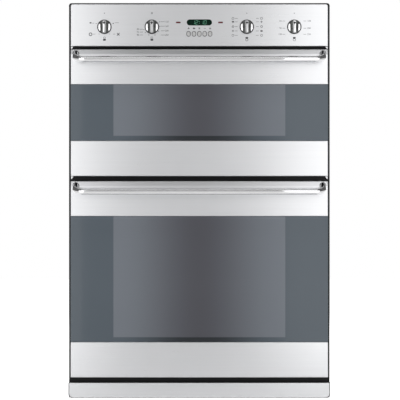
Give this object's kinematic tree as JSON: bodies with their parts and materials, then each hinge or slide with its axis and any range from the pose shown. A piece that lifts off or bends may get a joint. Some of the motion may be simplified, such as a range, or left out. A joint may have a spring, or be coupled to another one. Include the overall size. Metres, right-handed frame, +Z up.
{
  "type": "wall oven",
  "caption": "Built-in double electric oven, steel front, dark mirrored glass doors with tubular handles, rotary knobs and a clock display.",
  "frame": {"origin": "bottom of the casing on the centre line, in the plane of the cabinet's front", "axes": "+Z up, +Y into the cabinet, doors towards -Y"},
  "size_m": [0.598, 0.6487, 0.9],
  "materials": {
    "galvanised": "zinc-coated sheet",
    "brushed_steel": "brushed across",
    "door_glass": "dark mirrored glass",
    "clear_glass": "clear glass",
    "chrome": "polished",
    "button": "satin",
    "enamel": "glossy vitreous enamel",
    "door_enamel": "satin enamel",
    "wire": "polished wire",
    "element": "dull heat-stained tube",
    "seal": "matt",
    "wool": "mineral wool",
    "stainless": "satin",
    "aluminium": "satin",
    "motor": "lacquered",
    "zinc": "zinc plated",
    "display": "dark tinted",
    "lamp_red": "tinted",
    "lamp_glass": "clear glass",
    "board": "lacquered board",
    "moulding": "moulded",
    "gland": "matt"
  },
  "bodies": {
    "oven": {"base_panel": "galvanised", "blower_housing": "galvanised", "blower_motor": "motor", "bottom_trim": "brushed_steel", "cable_gland": "gland", "clock_board": "board", "control_box": "galvanised", "control_panel": "brushed_steel", "display_window": "display", "divider_plate": "galvanised", "fan_cover": "enamel", "fan_motor": "motor", "front_frame": "enamel", "grill_element": "element", "heat_sensors": "stainless", "hinge_arms": "zinc", "indicator_lamps": "lamp_red", "insulation": "wool", "lower_cavity": "enamel", "lower_door_seal": "seal", "oven_lamps": "lamp_glass", "rear_panel": "galvanised", "ring_element": "element", "rotary_switches": "moulding", "shelf_ladders": "wire", "side_panel_left": "galvanised", "side_panel_right": "galvanised", "terminal_box": "moulding", "top_panel": "galvanised", "upper_cavity": "enamel", "upper_door_seal": "seal"},
    "upper_door": {"upper_door_lower_rail": "brushed_steel", "upper_door_upper_rail": "brushed_steel", "upper_door_outer_glass": "door_glass", "upper_door_frame": "door_enamel", "upper_door_inner_glass": "clear_glass", "upper_door_handle": "chrome", "upper_hinge_bodies": "zinc"},
    "lower_door": {"lower_door_lower_rail": "brushed_steel", "lower_door_upper_rail": "brushed_steel", "lower_door_outer_glass": "door_glass", "lower_door_frame": "door_enamel", "lower_door_inner_glass": "clear_glass", "lower_door_handle": "chrome", "lower_hinge_bodies": "zinc"},
    "upper_function_knob": {"knob_upper_function": "chrome"},
    "upper_temperature_knob": {"knob_upper_temperature": "chrome"},
    "lower_function_knob": {"knob_lower_function": "chrome"},
    "lower_temperature_knob": {"knob_lower_temperature": "chrome"},
    "back_button": {"button_back": "button"},
    "minus_button": {"button_minus": "button"},
    "mode_button": {"button_mode": "button"},
    "plus_button": {"button_plus": "button"},
    "next_button": {"button_next": "button"},
    "fan": {"convection_fan": "stainless"},
    "blower": {"blower_rotor": "aluminium"},
    "upper_shelf": {"upper_rack": "wire"},
    "lower_shelf": {"lower_rack": "wire"},
    "tray": {"baking_tray": "enamel"}
  },
  "joints": [
    {"name": "upper_door_hinge", "type": "hinge", "parent": "oven", "child": "upper_door", "pos_m": [0, -0.026, 0.5194], "axis": [1, 0, 0], "range_deg": [0, 90], "stiffness_Nm_per_rad": 10, "springref_deg": -11.46},
    {"name": "lower_door_hinge", "type": "hinge", "parent": "oven", "child": "lower_door", "pos_m": [0, -0.026, 0.0614], "axis": [1, 0, 0], "range_deg": [0, 90], "stiffness_Nm_per_rad": 18, "springref_deg": -11.46},
    {"name": "upper_function_turn", "type": "hinge", "parent": "oven", "child": "upper_function_knob", "pos_m": [-0.216, -0.05, 0.846], "axis": [0, 1, 0], "range_deg": [0, 300]},
    {"name": "upper_temperature_turn", "type": "hinge", "parent": "oven", "child": "upper_temperature_knob", "pos_m": [-0.108, -0.05, 0.846], "axis": [0, 1, 0], "range_deg": [0, 270]},
    {"name": "lower_function_turn", "type": "hinge", "parent": "oven", "child": "lower_function_knob", "pos_m": [0.108, -0.05, 0.846], "axis": [0, 1, 0], "range_deg": [0, 300]},
    {"name": "lower_temperature_turn", "type": "hinge", "parent": "oven", "child": "lower_temperature_knob", "pos_m": [0.216, -0.05, 0.846], "axis": [0, 1, 0], "range_deg": [0, 270]},
    {"name": "back_press", "type": "slide", "parent": "oven", "child": "back_button", "axis": [0, 1, 0], "range_m": [0, 0.0015], "stiffness_N_per_m": 400},
    {"name": "minus_press", "type": "slide", "parent": "oven", "child": "minus_button", "axis": [0, 1, 0], "range_m": [0, 0.0015], "stiffness_N_per_m": 400},
    {"name": "mode_press", "type": "slide", "parent": "oven", "child": "mode_button", "axis": [0, 1, 0], "range_m": [0, 0.0015], "stiffness_N_per_m": 400},
    {"name": "plus_press", "type": "slide", "parent": "oven", "child": "plus_button", "axis": [0, 1, 0], "range_m": [0, 0.0015], "stiffness_N_per_m": 400},
    {"name": "next_press", "type": "slide", "parent": "oven", "child": "next_button", "axis": [0, 1, 0], "range_m": [0, 0.0015], "stiffness_N_per_m": 400},
    {"name": "fan_spin", "type": "hinge", "parent": "oven", "child": "fan", "pos_m": [0, 0.4, 0.2684], "axis": [0, 1, 0], "continuous": true},
    {"name": "blower_spin", "type": "hinge", "parent": "oven", "child": "blower", "pos_m": [0, 0.275, 0.8418], "axis": [1, 0, 0], "continuous": true},
    {"name": "upper_rack_slide", "type": "slide", "parent": "oven", "child": "upper_shelf", "axis": [0, -1, 0], "range_m": [0, 0.016]},
    {"name": "lower_rack_slide", "type": "slide", "parent": "oven", "child": "lower_shelf", "axis": [0, -1, 0], "range_m": [0, 0.016]},
    {"name": "tray_slide", "type": "slide", "parent": "oven", "child": "tray", "axis": [0, -1, 0], "range_m": [0, 0.016]}
  ]
}
